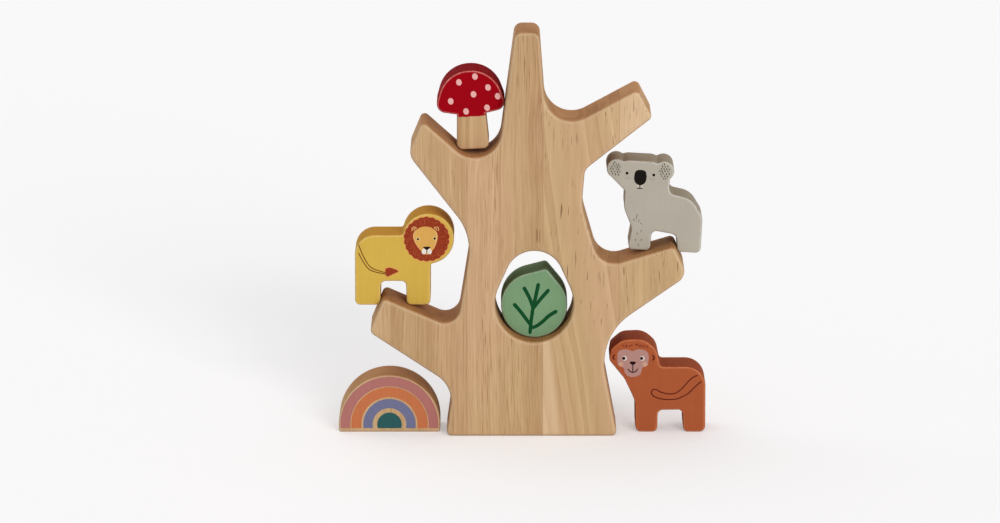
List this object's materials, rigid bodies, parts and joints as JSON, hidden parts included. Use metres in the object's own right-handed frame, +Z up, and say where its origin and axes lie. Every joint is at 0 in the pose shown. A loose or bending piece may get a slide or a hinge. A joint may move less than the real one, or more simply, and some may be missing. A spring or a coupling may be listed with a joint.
{
  "type": "wooden balancing tree game",
  "caption": "Thick wooden tree with stub branches and an egg-shaped hole, with painted animal, leaf, mushroom and rainbow blocks to balance on it.",
  "frame": {"origin": "centre of the tree's foot, on the surface it stands on", "axes": "+Z up, -Y towards the player, the side that carries the prints, +X to the player's right"},
  "size_m": [0.2208, 0.0926, 0.246],
  "materials": {
    "tree_wood": "clear satin lacquer over pale rubberwood, upright grain",
    "leaf_green": "satin paint on the front and back, over the whole piece",
    "mushroom_red": "satin red paint on the cap with pale dots, bare oiled stalk",
    "lion_yellow": "satin yellow stain with printed mane and face",
    "koala_grey": "satin grey paint with printed face",
    "monkey_brown": "satin red-brown stain with printed face",
    "rainbow_wood": "bare wood printed with five bands",
    "lemur_grey": "satin blue-grey paint with printed face",
    "fox_tan": "satin tan stain with printed face",
    "crocodile_green": "satin green paint with printed scales"
  },
  "bodies": {
    "tree": {"left_stave_3a": "tree_wood", "left_stave_2a": "tree_wood", "left_stave_2b": "tree_wood", "left_stave_1a": "tree_wood", "right_stave_1a": "tree_wood", "right_stave_2a": "tree_wood", "right_stave_2b": "tree_wood"},
    "leaf": {"leaf": "leaf_green"},
    "mushroom": {"mushroom": "mushroom_red"},
    "lion": {"lion": "lion_yellow"},
    "koala": {"koala": "koala_grey"},
    "monkey": {"monkey": "monkey_brown"},
    "rainbow": {"rainbow": "rainbow_wood"},
    "lemur": {"lemur": "lemur_grey"},
    "fox": {"fox": "fox_tan"},
    "crocodile": {"crocodile": "crocodile_green"}
  },
  "joints": [
    {"name": "leaf_lift_off", "type": "slide", "parent": "tree", "child": "leaf", "axis": [0, -0.995, 0.0995], "range_m": [0, 0.05]},
    {"name": "mushroom_lift_off", "type": "slide", "parent": "tree", "child": "mushroom", "axis": [0, 0, 1], "range_m": [0, 0.06]},
    {"name": "lion_lift_off", "type": "slide", "parent": "tree", "child": "lion", "axis": [0, -0.995, 0.0995], "range_m": [0, 0.05]},
    {"name": "koala_lift_off", "type": "slide", "parent": "tree", "child": "koala", "axis": [0, -0.995, 0.0995], "range_m": [0, 0.05]},
    {"name": "monkey_lift_off", "type": "slide", "parent": "tree", "child": "monkey", "axis": [0, -0.995, 0.0995], "range_m": [0, 0.05]},
    {"name": "rainbow_lift_off", "type": "slide", "parent": "tree", "child": "rainbow", "axis": [0, -0.995, 0.0995], "range_m": [0, 0.05]},
    {"name": "lemur_lift_off", "type": "slide", "parent": "tree", "child": "lemur", "axis": [0, 0, 1], "range_m": [0, 0.06]},
    {"name": "fox_lift_off", "type": "slide", "parent": "tree", "child": "fox", "axis": [0, 0, 1], "range_m": [0, 0.06]},
    {"name": "crocodile_lift_off", "type": "slide", "parent": "tree", "child": "crocodile", "axis": [0, 0, 1], "range_m": [0, 0.06]}
  ]
}
